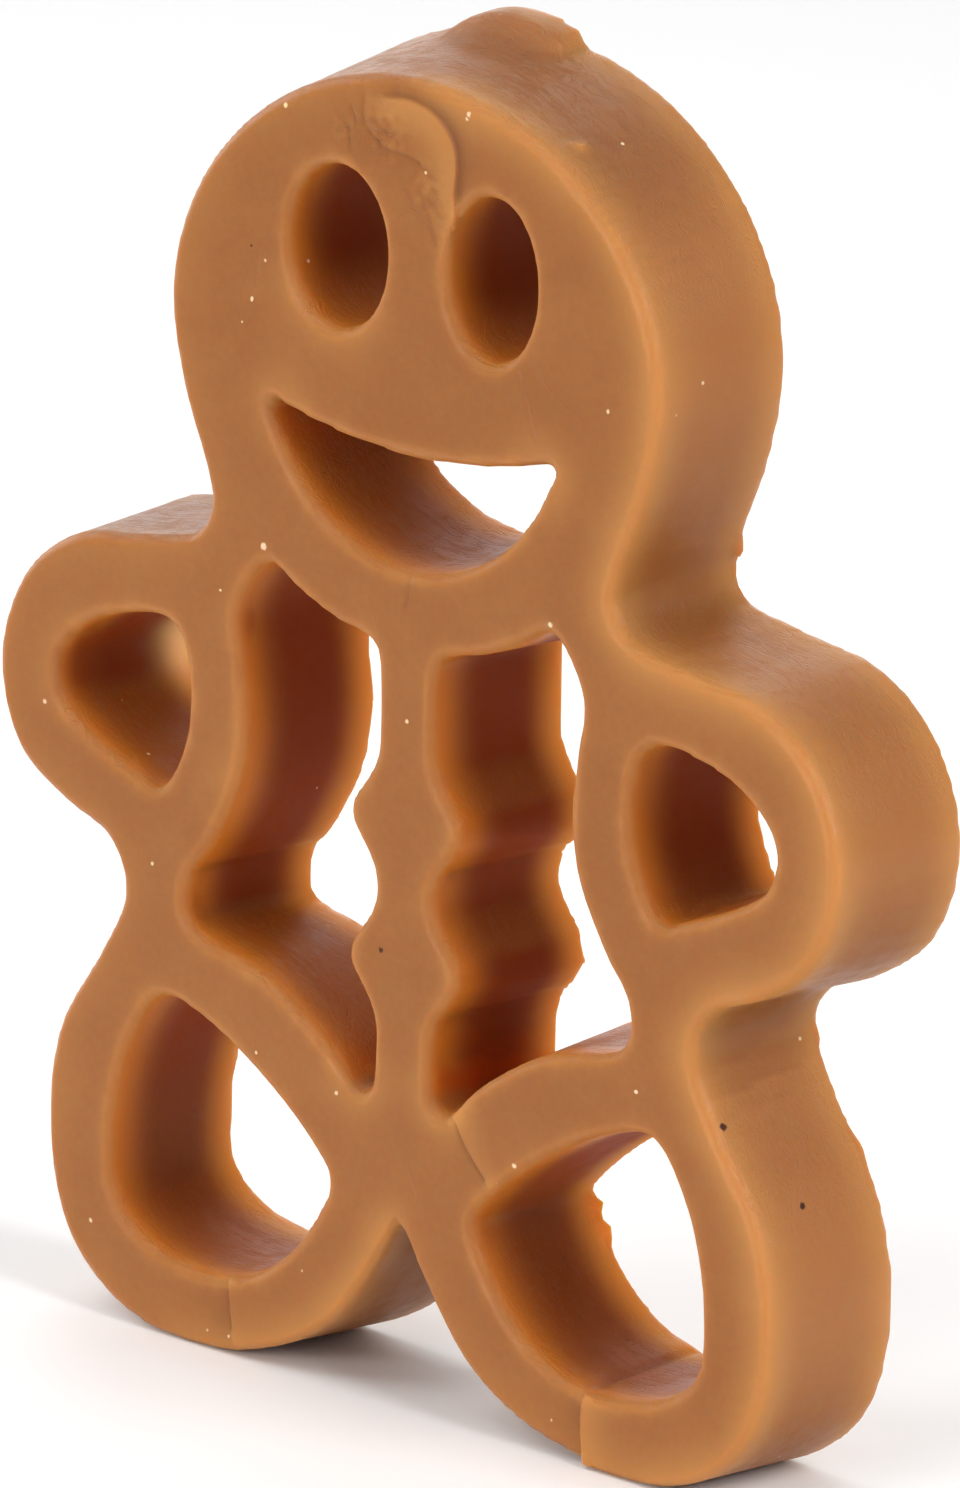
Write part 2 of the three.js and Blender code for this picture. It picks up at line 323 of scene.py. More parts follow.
# %% Rough skin on the forehead
rough_skin = np.zeros(point_count)
for x, z, reach in ROUGH_PATCHES:
    away = np.hypot(points[:, 0] - x, points[:, 2] - z)
    rough_skin = np.maximum(rough_skin, np.exp(-((away / reach) ** 2)) * toward_face)
on_face += waves(0.75, 0.2, rough_skin) + waves(1.6, 0.14, rough_skin)
height_over_skin += on_face * toward_face
print("relief of the face spans", round(float(np.ptp(on_face * toward_face)), 2), "mm")

# %% Crisper edges: push the rounded band between face, wall and back outward
CRISP_FACE = 0.18
CRISP_BACK = 0.08
slant = 2.0 * np.abs(normals[:, 1]) * np.sqrt(np.maximum(1.0 - normals[:, 1] ** 2, 0.0))
crisp = smooth_step(0.35, 1.0, slant) * np.where(depth < THICKNESS / 2, CRISP_FACE, CRISP_BACK)
height_over_skin += averaged(crisp, 3)
print("share of the skin in the rounded band:", round(float((crisp > 0.0).mean()), 2))

# %% Creases that run through the depth, in the corners of the holes
WALL_CREASES = [
    [(5.4, 44.2), (2.2, 43.4)],
    [(5.4, 32.7), (2.2, 31.8)],
    [(-24.6, 38.6), (-21.8, 38.9)],
    [(-24.6, 35.2), (-22.2, 34.6)],
    [(20.4, 7.2), (20.1, 4.2)],
    [(8.0, 70.6), (9.4, 68.6)],
]
WALL_CREASE_WIDTH = 0.55
WALL_CREASE_LOW = 0.32

in_corners = np.zeros(point_count)
for crease in WALL_CREASES:
    in_corners += valley(crease, WALL_CREASE_WIDTH, WALL_CREASE_LOW)
height_over_skin += in_corners * on_wall * smooth_step(0.6, 2.2, depth)
print("creases reach", round(float(-in_corners.min()), 2), "mm in")

# %% Step under the right foot, where one side of the seam sagged lower
STEP_X = 20.2
STEP_TALL = 0.5
STEP_REACH = 5.0
STEP_EDGE = 0.2

past_step = points[:, 0] - STEP_X
under_foot = smooth_step(0.3, -0.5, normals[:, 2]) * smooth_step(6.5, 3.0, points[:, 2])
under_foot *= np.exp(-((past_step / STEP_REACH) ** 2))
step = under_foot * STEP_TALL * (0.5 - 0.5 * np.tanh(past_step / STEP_EDGE))
height_over_skin -= step
print("step under the foot is", round(float(step.max()), 2), "mm")

# %% [markdown]
# Where the mould's halves met, the back edge has flash: a paper-thin fin with a torn rim. Most of the
# edge has next to none, and a few places have up to a millimetre, such as the neck, the waist, the
# inside of the leg and the left arm's hole. Pushing the edge's own points outward makes it part of
# the skin, which a separate strip would not be.

# %% Flash along the back edge: place across, place up, reach, height
TORN_PLACES = [
    (22.2, 71.4, 1.0, 0.75),
    (21.6, 69.6, 0.7, 0.35),
    (31.3, 34.8, 0.8, 0.6),
    (36.6, 26.9, 1.4, 0.45),
    (8.5, 15.8, 0.8, 1.2),
    (9.7, 13.9, 1.0, 1.1),
    (-30.6, 35.6, 1.0, 0.4),
    (-22.0, 70.6, 1.2, 0.4),
    (-12.4, 65.6, 1.0, 0.4),
    (-38.2, 54.0, 5.0, 1.1),
]
THIN_FLASH = 0.03
RAGGED_SIZE = 2.6
RAGGED_START = Vector((7.0, 1.0, 3.0))


def raggedness(x, z):
    return noise.noise(Vector((x, 0.0, z)) / RAGGED_SIZE + RAGGED_START)


near_back = smooth_step(BACK_Y - 1.1, BACK_Y - 0.25, points[:, 1])
at_back_edge = near_back * smooth_step(0.95, 0.5, normals[:, 1])
ragged = np.array([raggedness(x, z) for x, _, z in points])
flash = THIN_FLASH * smooth_step(-0.1, 0.5, ragged)
for x, z, reach, tall in TORN_PLACES:
    away = np.hypot(points[:, 0] - x, points[:, 2] - z)
    flash = flash + tall * np.exp(-((away / reach) ** 2))
outward = normals * np.array([1.0, 0.0, 1.0])
outward /= np.maximum(np.linalg.norm(outward, axis=1, keepdims=True), 0.2)
print("flash reaches", round(float((flash * at_back_edge).max()), 2), "mm")

# %% A pimple on the side of the head, left by a bubble in the mould
PIMPLE = np.array([14.8, -3.6, 103.1])
PIMPLE_RADIUS = 0.65
PIMPLE_HEIGHT = 0.42
nearest_skin = np.argmin(np.linalg.norm(points - PIMPLE, axis=1))
to_pimple = np.linalg.norm(points - points[nearest_skin], axis=1)
pimple = np.exp(-((to_pimple / PIMPLE_RADIUS) ** 2))
height_over_skin += PIMPLE_HEIGHT * pimple
print("pimple sits at", points[nearest_skin].round(1))

# %% Push the skin out by all that was drawn on it
points = points + normals * height_over_skin[:, None] + outward * (flash * at_back_edge)[:, None]
points = np.clip(points, np.array(low_corner) / MM, np.array(high_corner) / MM)
write_points(points)
figure.data.polygons.foreach_set("use_smooth", np.ones(len(figure.data.polygons), bool))
print("finished skin spans", np.ptp(points, axis=0).round(2), "mm")

# %% [markdown]
# Light that enters an edge soon comes out again on the other side of it, so edges look paler and
# more yellow than the middle of a face, while the inside of a hole gets its light through the mass
# and turns a deep red brown. The light paths of the renderer make most of that by themselves. A few
# masks on the skin add the rest as painted light and shade in the colour: how near a point is to an
# outer edge or to the rim of a hole, how deep it lies in a hole, how narrow that hole is, and whether
# the point sits in a corner or on a ledge.

# %% Find the holes on a plan of the figure
CELL = 0.8
plan_low = points.min(axis=0)[[0, 2]] - 3 * CELL
plan_size = (np.ptp(points, axis=0)[[0, 2]] / CELL).astype(int) + 8


def cells_at(places):
    cells = ((places[:, [0, 2]] - plan_low) / CELL).astype(int)
    return np.clip(cells, 0, plan_size - 1).T


def spread(mask):
    grown = mask.copy()
    grown[1:] |= mask[:-1]
    grown[:-1] |= mask[1:]
    grown[:, 1:] |= mask[:, :-1]
    grown[:, :-1] |= mask[:, 1:]
    return grown


covered = np.zeros(plan_size, bool)
covered[tuple(cells_at(points))] = True
outside = np.zeros(plan_size, bool)
outside[0] = True
while True:
    grown = spread(outside) & ~covered
    grown |= outside
    if (grown == outside).all():
        break
    outside = grown
in_plan_hole = ~covered & ~outside
hole_area = float(in_plan_hole.sum()) * CELL**2 / 100.0
print("holes take", round(hole_area, 1), "square centimetres of the plan")

# %% Which walls belong to a hole, and how open that hole is
def blurred(plan, rounds):
    plan = plan.astype(float)
    for _ in range(rounds):
        padded = np.pad(plan, 1, mode="edge")
        plan = (padded[2:, 1:-1] + padded[:-2, 1:-1] + padded[1:-1, 2:] + padded[1:-1, :-2]) / 4.0
    return plan


def plan_at(plan, reach):
    return plan[tuple(cells_at(points + outward * reach))]


CORNER_BLUR = 8
HOLE_BLUR = 24
OUTER_BLUR = 40

near_openness = blurred(in_plan_hole, CORNER_BLUR)
hole_openness = blurred(in_plan_hole, HOLE_BLUR)
outer_openness = blurred(outside, OUTER_BLUR)
in_hole = np.zeros(point_count)
open_here = np.zeros(point_count)
for reach in (0.9, 1.7, 2.5):
    in_hole = np.maximum(in_hole, plan_at(in_plan_hole, reach))
    open_here = np.maximum(open_here, plan_at(hole_openness, reach))
tucked_openness = plan_at(outer_openness, 0.9)
corner_openness = averaged(plan_at(near_openness, 1.3), 10)
in_hole = averaged(in_hole, 3)
round_hole = in_hole * smooth_step(0.97, 0.75, normals[:, 1])
in_hole *= on_wall
print("walls in holes:", round(float(in_hole.sum() / on_wall.sum()), 2), "of all walls")

# %% See how open the walls are
FIFTHS = (5, 20, 40, 60, 80, 95)
corner_share = corner_openness[(on_wall > 0.9) & (in_hole > 0.9)]
outer_share = tucked_openness[(on_wall > 0.9) & (in_hole < 0.1)]
print("openness of hole walls by fifths:", np.percentile(corner_share, FIFTHS).round(2))
print("openness of outer walls by fifths:", np.percentile(outer_share, FIFTHS).round(2))


# %% Distance over the skin from its outer edges and from the rims of the holes
FAR_OFF = 99.0


def distance_over_skin(starts, rounds=36):
    length = np.linalg.norm(points[edges[:, 0]] - points[edges[:, 1]], axis=1)
    away = np.where(starts, 0.0, FAR_OFF)
    for _ in range(rounds):
        first = away[edges[:, 0]] + length
        second = away[edges[:, 1]] + length
        np.minimum.at(away, edges[:, 1], first)
        np.minimum.at(away, edges[:, 0], second)
    return away


slanted = (np.abs(normals[:, 1]) > 0.4) & (np.abs(normals[:, 1]) < 0.85)
near_plane = (depth < 1.6) | (depth > THICKNESS - 1.2)
hole_side = plan_at(in_plan_hole, 2.5)
from_outer_edge = distance_over_skin(slanted & near_plane & ~hole_side)
from_hole_edge = distance_over_skin(slanted & near_plane & hole_side)
from_edge = np.minimum(from_outer_edge, from_hole_edge)
print("nearest edge lies", round(float(from_edge.mean()), 1), "mm off on average")


# %% Masks of the edges, where a painted glow makes them paler, more so on the side that gets more light
OUTER_EDGE_REACH = 2.0
HOLE_EDGE_REACH = 0.7
EVEN_SLOPE = 0.012

outer_edge = np.exp(-((from_outer_edge / OUTER_EDGE_REACH) ** 2)) * (1.0 - in_hole)
outer_edge = averaged(outer_edge, 8, share=0.7)
hole_edge = np.exp(-((from_hole_edge / HOLE_EDGE_REACH) ** 2)) * smooth_step(3.0, 1.0, depth)
hole_edge = averaged(hole_edge, 2)
lit_side = np.gradient(outer_openness, axis=0)[tuple(cells_at(points))]
outer_edge *= 0.3 + 0.7 * smooth_step(-EVEN_SLOPE, EVEN_SLOPE, lit_side)
print("slope of openness across:", np.percentile(lit_side, FIFTHS).round(3))

# %% Masks of the outer walls, for a painted sheen on them and painted shade on their tops, undersides and tucked places
up = normals[:, 2]
on_outer_wall = on_wall * (1.0 - in_hole)
looks_up = on_wall * smooth_step(0.2, 0.8, up)
on_right_arm = smooth_step(18.0, 30.0, points[:, 0])
outer_top = on_outer_wall * smooth_step(0.45, 0.9, up) * (1.0 - 0.7 * on_right_arm)
print("share of outer walls:", round(float(on_outer_wall.mean()), 2))

# %% Masks of the holes for painted shade: ledges and the legs' lower parts get less of it and stay lighter, corners darken sooner
LEG_SHARE = 0.42
CORNER_SHARE = 0.85

height = points[:, 2]
up_share = 0.35 + 0.5 * smooth_step(10.0, 35.0, height)
leg_share = LEG_SHARE * smooth_step(24.0, 14.0, height)
from_face = smooth_step(1.2, 5.4, depth)
in_corner = in_hole * smooth_step(0.44, 0.26, corner_openness)
deep_here = np.maximum(from_face, CORNER_SHARE * in_corner * smooth_step(0.3, 2.6, depth))
hole_deep = in_hole * deep_here * (1.0 - up_share * looks_up) * (1.0 - leg_share)
in_mouth = in_hole * smooth_step(66.0, 69.0, height) * smooth_step(83.0, 80.0, height)
below_mouth = 0.3 + 0.7 * smooth_step(74.0, 66.0, height)
print("deep share of the hole walls:", round(float(hole_deep.sum() / in_hole.sum()), 2))

# %% Where the flash closes the left arm's hole, light comes through, and a painted glow stands for it
GLOW_PLACE = np.array([-37.8, 6.4, 54.2])
GLOW_REACH = np.array([2.2, 2.6, 4.4])
glow_gap = (points - GLOW_PLACE) / GLOW_REACH
thin_glow = in_hole * np.exp(-(glow_gap**2).sum(axis=1))
print("glow covers", int((thin_glow > 0.5).sum()), "points")

# %% Store the masks on the skin
MASKS = {
    "outer_edge": outer_edge,
    "outer_wall": on_outer_wall * smooth_step(-0.6, 0.1, up),
    "outer_top": outer_top,
    "looks_down": on_outer_wall * smooth_step(0.1, -0.75, up),
    "looks_up": looks_up,
    "tucked": on_outer_wall * smooth_step(0.5, 0.34, tucked_openness),
    "hole_edge": hole_edge,
    # painted glow near the rims, painted light on ledges, painted shade deep in the holes and the
    # mouth, and a painted glow at the back rims
    "hole_rim": in_hole * smooth_step(0.3, 1.2, depth) * smooth_step(5.6, 1.4, depth),
    "hole_deep": hole_deep,
    "hole_tight": in_hole * smooth_step(0.42, 0.2, open_here),
    "hole_ledge": in_hole * smooth_step(1.0, 4.0, depth) * looks_up,
    "hole_back": round_hole * smooth_step(9.2, 13.2, depth) * below_mouth,
    "mouth_deep": in_mouth * from_face * (1.0 - looks_up),
    "thin_glow": thin_glow,
    # painted glow on raised relief and the pimple, painted shade in the relief's valleys
    "raised": np.maximum(np.clip(on_face * toward_face / 0.3, 0.0, 1.0), pimple),
    "sunk": np.clip(-on_face * toward_face / 0.2, 0.0, 1.0),
    "rough_skin": np.clip(rough_skin * 1.5, 0.0, 1.0),
}
for name, values in MASKS.items():
    layer = figure.data.attributes.new(name, "FLOAT", "POINT")
    layer.data.foreach_set("value", values.astype(np.float32))
print("masks stored:", len(MASKS))

# %% [markdown]
# Shader groups carry the small effects: the clouding of the mass, crumbs and specks at the places
# where the real chew has them, the fine grain of the skin, and hair-thin scratches. They put out
# only masks and heights. The Principled shader itself stays in the material, where its subsurface
# light does the main work.


# %% Small helpers for node trees
def new_group(name, inputs, outputs):
    group = bpy.data.node_groups.new(name, "ShaderNodeTree")
    for label, kind, value in inputs:
        socket = group.interface.new_socket(label, in_out="INPUT", socket_type=kind)
        if value is not None:
            socket.default_value = value
    for label, kind in outputs:
        group.interface.new_socket(label, in_out="OUTPUT", socket_type=kind)
    inside = group.nodes.new("NodeGroupInput")
    outlet = group.nodes.new("NodeGroupOutput")
    return group, inside, outlet


def put(tree, socket, value):
    if isinstance(value, (int, float, tuple)):
        socket.default_value = value
    else:
        tree.links.new(value, socket)


def math_node(tree, operation, *values, clamp=False):
    made = tree.nodes.new("ShaderNodeMath")
    made.operation = operation
    made.use_clamp = clamp
    for socket, value in zip(made.inputs, values):
        put(tree, socket, value)
    return made.outputs[0]


def vector_node(tree, operation, *values):
    made = tree.nodes.new("ShaderNodeVectorMath")
    made.operation = operation
    for socket, value in zip(made.inputs, values):
        put(tree, socket, value)
    return made.outputs["Value" if operation in ("DISTANCE", "DOT_PRODUCT") else "Vector"]


def put_all(tree, made, settings):
    for label, setting in settings.items():
        put(tree, made.inputs[label], setting)


def mapped(tree, value, low, high, to_low=0.0, to_high=1.0):
    made = tree.nodes.new("ShaderNodeMapRange")
    made.interpolation_type = "SMOOTHSTEP"
    put_all(tree, made, {"Value": value, "From Min": low, "From Max": high})
    put_all(tree, made, {"To Min": to_low, "To Max": to_high})
    return made.outputs["Result"]


def noise_node(tree, vector, scale, detail=2.0, roughness=0.5, distortion=0.0):
    made = tree.nodes.new("ShaderNodeTexNoise")
    put_all(tree, made, {"Vector": vector, "Scale": scale, "Detail": detail})
    put_all(tree, made, {"Roughness": roughness, "Distortion": distortion})
    return made.outputs["Fac"]


# %% Group: clouds in the mass, with scattered crumbs
MOTTLE_PER_METRE = 1300.0
MOTTLE_SHARE = 0.35
CRUMB_CELLS_PER_METRE = 380.0
CRUMB_CHANCE = 0.07


def mass_group():
    inputs = [("Place", "NodeSocketVector", None), ("Cloud Size", "NodeSocketFloat", 9.0)]
    outputs = [("Clouds", "NodeSocketFloat"), ("Crumbs", "NodeSocketFloat")]
    group, inside, outlet = new_group("mass_clouds", inputs, outputs)
    place = inside.outputs["Place"]
    per_metre = math_node(group, "DIVIDE", 1000.0, inside.outputs["Cloud Size"])
    clouds = noise_node(group, place, per_metre, detail=4.0, distortion=0.6)
    mottle = noise_node(group, place, MOTTLE_PER_METRE, detail=3.0, roughness=0.6)
    mottle = mapped(group, mottle, 0.3, 0.7)
    clouds = mapped(group, clouds, 0.3, 0.72)
    clouds = math_node(group, "MULTIPLY", clouds, 1.0 - MOTTLE_SHARE)
    clouds = math_node(group, "MULTIPLY_ADD", mottle, MOTTLE_SHARE, clouds)
    group.links.new(clouds, outlet.inputs["Clouds"])
    cells = group.nodes.new("ShaderNodeTexVoronoi")
    cells.inputs["Scale"].default_value = CRUMB_CELLS_PER_METRE
    group.links.new(place, cells.inputs["Vector"])
    near = mapped(group, cells.outputs["Distance"], 0.08, 0.035)
    colour = group.nodes.new("ShaderNodeSeparateColor")
    group.links.new(cells.outputs["Color"], colour.inputs["Color"])
    chosen = math_node(group, "LESS_THAN", colour.outputs["Red"], CRUMB_CHANCE)
    group.links.new(math_node(group, "MULTIPLY", near, chosen), outlet.inputs["Crumbs"])
    return group


# %% Pale crumbs on the face: place across, place up, radius
PALE_FLECKS = [
    (-13.6, 102.3, 0.28), (-17.1, 86.4, 0.24), (-18.1, 84.4, 0.16), (6.1, 104.6, 0.26),
    (5.9, 104.2, 0.16), (21.2, 84.1, 0.2), (0.4, 55.9, 0.22), (-20.3, 62.5, 0.2),
    (-40.0, 49.7, 0.26), (-27.6, 38.8, 0.2), (-6.8, 24.4, 0.24), (25.4, 31.5, 0.22),
    (16.9, 3.1, 0.2), (-34.4, 7.7, 0.26), (1.6, 99.4, 0.16), (-3.3, 105.7, 0.16),
    (12.6, 22.7, 0.24), (-18.6, 1.6, 0.22), (-15.5, 66.9, 0.4), (15.5, 66.4, 0.3),
]

# %% Dark specks: place across, back and up, radius
DARK_SPECKS = [
    (33.4, -5.6, 30.2, 0.42),
    (-2.1, -6.8, 37.0, 0.3),
    (37.8, -1.3, 24.0, 0.36),
    (-17.2, -6.8, 90.6, 0.14),
]


# %% Group: crumbs and dark specks where the real chew has them
ROUGH_RIM_PER_METRE = 3200.0
ROUGH_RIM_SHARE = 0.3


def marks_group():
    outputs = [("Flecks", "NodeSocketFloat"), ("Specks", "NodeSocketFloat")]
    group, inside, outlet = new_group("placed_marks", [("Place", "NodeSocketVector", None)], outputs)
    rough = noise_node(group, inside.outputs["Place"], ROUGH_RIM_PER_METRE)
    jag = math_node(group, "SUBTRACT", rough, 0.5)
    jag = math_node(group, "MULTIPLY", jag, ROUGH_RIM_SHARE * MM)
    flecks = [(x, FACE_Y, z, radius) for x, z, radius in PALE_FLECKS]
    for label, marks in (("Flecks", flecks), ("Specks", DARK_SPECKS)):
        total = 0.0
        for x, y, z, radius in marks:
            spot = (x * MM, y * MM, z * MM)
            gap = vector_node(group, "DISTANCE", inside.outputs["Place"], spot)
            gap = math_node(group, "ADD", gap, jag)
            mark = mapped(group, gap, radius * MM, radius * 0.5 * MM)
            total = math_node(group, "MAXIMUM", total, mark)
        group.links.new(total, outlet.inputs[label])
    return group


# %% Group: fine grain of the skin, with faint wrinkles
PORES_PER_METRE = 2400.0
LUMPS_PER_METRE = 620.0
WRINKLES_PER_METRE = 420.0
WRINKLE_TURN = (0.1, 0.25, 0.15)
WRINKLE_STRETCH = (0.4, 2.2, 1.2)
FURROW_WIDTH = 0.05


def grain_group():
    inputs = [("Place", "NodeSocketVector", None), ("Wrinkle Share", "NodeSocketFloat", 0.5)]
    outputs = [("Height", "NodeSocketFloat"), ("Dull", "NodeSocketFloat")]
    group, inside, outlet = new_group("skin_grain", inputs, outputs)
    place = inside.outputs["Place"]
    pores = noise_node(group, place, PORES_PER_METRE, detail=3.0, roughness=0.65)
    lumps = noise_node(group, place, LUMPS_PER_METRE, detail=3.0, roughness=0.55)
    stretch = group.nodes.new("ShaderNodeMapping")
    stretch.inputs["Rotation"].default_value = WRINKLE_TURN
    stretch.inputs["Scale"].default_value = WRINKLE_STRETCH
    group.links.new(place, stretch.inputs["Vector"])
    stretched = stretch.outputs["Vector"]
    flow = noise_node(group, stretched, WRINKLES_PER_METRE, 4.0, roughness=0.6, distortion=1.2)
    creased = math_node(group, "ABSOLUTE", math_node(group, "SUBTRACT", flow, 0.5))
    furrow = mapped(group, creased, 0.0, FURROW_WIDTH, -1.0, 0.0)
    wrinkled = math_node(group, "MULTIPLY", furrow, inside.outputs["Wrinkle Share"])
    height = math_node(group, "MULTIPLY_ADD", pores, 0.3, math_node(group, "MULTIPLY", lumps, 0.6))
    group.links.new(math_node(group, "ADD", height, wrinkled), outlet.inputs["Height"])
    group.links.new(mapped(group, lumps, 0.35, 0.7), outlet.inputs["Dull"])
    return group


# %% Group: one hair-thin scratch between two places
def scratch_group():
    inputs = [
        ("Place", "NodeSocketVector", None),
        ("From", "NodeSocketVector", None),
        ("To", "NodeSocketVector", None),
        ("Width", "NodeSocketFloat", 0.00012),
    ]
    group, inside, outlet = new_group("scratch", inputs, [("Height", "NodeSocketFloat")])
    run = vector_node(group, "SUBTRACT", inside.outputs["To"], inside.outputs["From"])
    offset = vector_node(group, "SUBTRACT", inside.outputs["Place"], inside.outputs["From"])
    along = vector_node(group, "DOT_PRODUCT", offset, run)
    run_squared = vector_node(group, "DOT_PRODUCT", run, run)
    along = math_node(group, "DIVIDE", along, run_squared, clamp=True)
    spread_run = group.nodes.new("ShaderNodeVectorMath")
    spread_run.operation = "SCALE"
    group.links.new(run, spread_run.inputs[0])
    group.links.new(along, spread_run.inputs["Scale"])
    gap = vector_node(group, "DISTANCE", offset, spread_run.outputs["Vector"])
    group.links.new(mapped(group, gap, 0.0, inside.outputs["Width"], 1.0, 0.0), outlet.inputs["Height"])
    return group


mass_clouds = mass_group()
placed_marks = marks_group()
skin_grain = grain_group()
scratch = scratch_group()
print("shader groups:", [group.name for group in bpy.data.node_groups])

# %% Scratches on the face, each a chain of short straight pieces
SCRATCHES = [
    [(11.8, 85.7), (12.9, 83.2), (13.6, 80.6)],
    [(13.5, 86.4), (15.0, 84.6), (16.8, 83.8), (18.6, 83.1)],
    [(-15.2, 92.8), (-16.2, 90.4), (-16.6, 87.4)],
    [(-17.4, 89.8), (-18.3, 87.0)],
    [(-3.6, 63.6), (-2.8, 61.4)],
    [(1.0, 20.6), (2.4, 17.0)],
]


# %% Colours, given as they look on a screen
def colour_of(red, green, blue):
    def straight(value):
        value /= 255.0
        return value / 12.92 if value <= 0.04045 else ((value + 0.055) / 1.055) ** 2.4

    return (straight(red), straight(green), straight(blue), 1.0)


CARAMEL = colour_of(160, 103, 50)
CARAMEL_DARK = colour_of(151, 93, 42)
# painted sheen: the outer walls that don't look down are paler
PAINTED_WALL_SHEEN = colour_of(174, 116, 70)
# painted shade under the outer walls and in their tucked places
PAINTED_UNDER_SHADE = colour_of(136, 80, 32)
# painted shade on the tops of the outer walls
PAINTED_TOP_SHADE = colour_of(136, 86, 50)
SHADE_TINT = colour_of(122, 70, 30)
# painted glow on edges, hole edges and raised relief
PAINTED_EDGE_GLOW = colour_of(206, 148, 82)
# painted glow just inside the rims of the holes
PAINTED_RIM_GLOW = colour_of(204, 118, 30)
# painted shade deep in the holes, for wide and for narrow holes
PAINTED_WIDE_HOLE_SHADE = colour_of(140, 54, 2)
PAINTED_TIGHT_HOLE_SHADE = colour_of(190, 72, 1)
# painted shade deep in the mouth
PAINTED_MOUTH_SHADE = colour_of(132, 18, 0)
# painted light on ledges that look up inside the holes
PAINTED_LEDGE_LIGHT = colour_of(166, 90, 28)
# painted glow at the back rims of the holes
PAINTED_BACK_RIM_GLOW = colour_of(230, 152, 58)
# painted glow where light comes through the flash
GLOW_TINT = colour_of(255, 232, 170)
CRUMB_TINT = colour_of(232, 206, 168)
SPECK_TINT = colour_of(70, 30, 14)
print("face in linear light:", [round(value, 2) for value in CARAMEL[:3]])


# %% Small helpers for the material
def mixed(tree, share, first, second):
    made = tree.nodes.new("ShaderNodeMix")
    made.data_type = "RGBA"
    put(tree, made.inputs["Factor"], share)
    for label, value in (("A", first), ("B", second)):
        socket = [s for s in made.inputs if s.name == label and s.type == "RGBA"][0]
        put(tree, socket, value)
    return [s for s in made.outputs if s.type == "RGBA"][0]


def mask_of(tree, name, share=1.0):
    made = tree.nodes.new("ShaderNodeAttribute")
    made.attribute_name = name
    return math_node(tree, "MULTIPLY", made.outputs["Fac"], share)


def group_node(tree, group, place):
    made = tree.nodes.new("ShaderNodeGroup")
    made.node_tree = group
    tree.links.new(place, made.inputs["Place"])
    return made


# %% Colour of the chew: tints laid over the clouded mass, one mask after the other; the masked tints are painted light and shade, while clouds, crumbs and specks are the chew's own colour
# painted light and shade on the outside: sheen on the walls, shade on tops, undersides, tucked places
# and valleys, and a glow on edges and raised relief
OUTER_LAYERS = [
    ("outer_wall", 0.6, PAINTED_WALL_SHEEN),
    ("outer_top", 0.7, PAINTED_TOP_SHADE),
    ("looks_down", 0.8, PAINTED_UNDER_SHADE),
    ("tucked", 0.6, PAINTED_UNDER_SHADE),
    ("outer_edge", 0.6, PAINTED_EDGE_GLOW),
    ("raised", 0.45, PAINTED_EDGE_GLOW),
    ("sunk", 0.5, SHADE_TINT),
]
# painted light and shade in the holes: a glow near the rims and edges, light on ledges, shade deep in
# the holes and the mouth, and a glow at the back rims and through the flash
HOLE_LAYERS = [
    ("hole_rim", 0.9, PAINTED_RIM_GLOW),
    ("hole_edge", 0.35, PAINTED_EDGE_GLOW),
    ("hole_ledge", 0.8, PAINTED_LEDGE_LIGHT),
    ("hole_deep", 0.95, None),
    ("mouth_deep", 0.55, PAINTED_MOUTH_SHADE),
    ("hole_back", 0.85, PAINTED_BACK_RIM_GLOW),
    ("thin_glow", 0.9, GLOW_TINT),
]


def chew_colour(tree, place):
    mass = group_node(tree, mass_clouds, place)
    marks = group_node(tree, placed_marks, place)
    colour = mixed(tree, mass.outputs["Clouds"], CARAMEL_DARK, CARAMEL)
    deep = mixed(tree, mask_of(tree, "hole_tight"), PAINTED_WIDE_HOLE_SHADE, PAINTED_TIGHT_HOLE_SHADE)
    for name, share, tint in OUTER_LAYERS + HOLE_LAYERS:
        colour = mixed(tree, mask_of(tree, name, share), colour, tint or deep)
    colour = mixed(tree, mass.outputs["Crumbs"], colour, CRUMB_TINT)
    colour = mixed(tree, marks.outputs["Flecks"], colour, CRUMB_TINT)
    return mixed(tree, marks.outputs["Specks"], colour, SPECK_TINT)


# %% Relief of the chew that is too fine for the skin
SCRATCH_DEPTH = -0.7
BUMP_STRENGTH = 0.55
BUMP_MM = 0.12


def chew_normal(tree, place, grain):
    scratches = 0.0
    for line in SCRATCHES:
        for (x0, z0), (x1, z1) in zip(line, line[1:]):
            piece = group_node(tree, scratch, place)
            piece.inputs["From"].default_value = (x0 * MM, FACE_Y * MM, z0 * MM)
            piece.inputs["To"].default_value = (x1 * MM, FACE_Y * MM, z1 * MM)
            scratches = math_node(tree, "MAXIMUM", scratches, piece.outputs["Height"])
    height = math_node(tree, "MULTIPLY_ADD", scratches, SCRATCH_DEPTH, grain.outputs["Height"])
    bump = tree.nodes.new("ShaderNodeBump")
    bump.inputs["Strength"].default_value = BUMP_STRENGTH
    bump.inputs["Distance"].default_value = BUMP_MM * MM
    tree.links.new(height, bump.inputs["Height"])
    return bump.outputs["Normal"]


# %% Material of the chew
LIGHT_REACH = (1.0, 0.42, 0.14)
REACH_MM = 2.3
WRINKLED = 0.9
WRINKLED_EVERYWHERE = 0.04
SMOOTHEST = 0.4
ROUGHEST = 0.5
DULL_IN_HOLES = 0.25
LIGHT_BEND = 1.42
SHEEN = 0.3


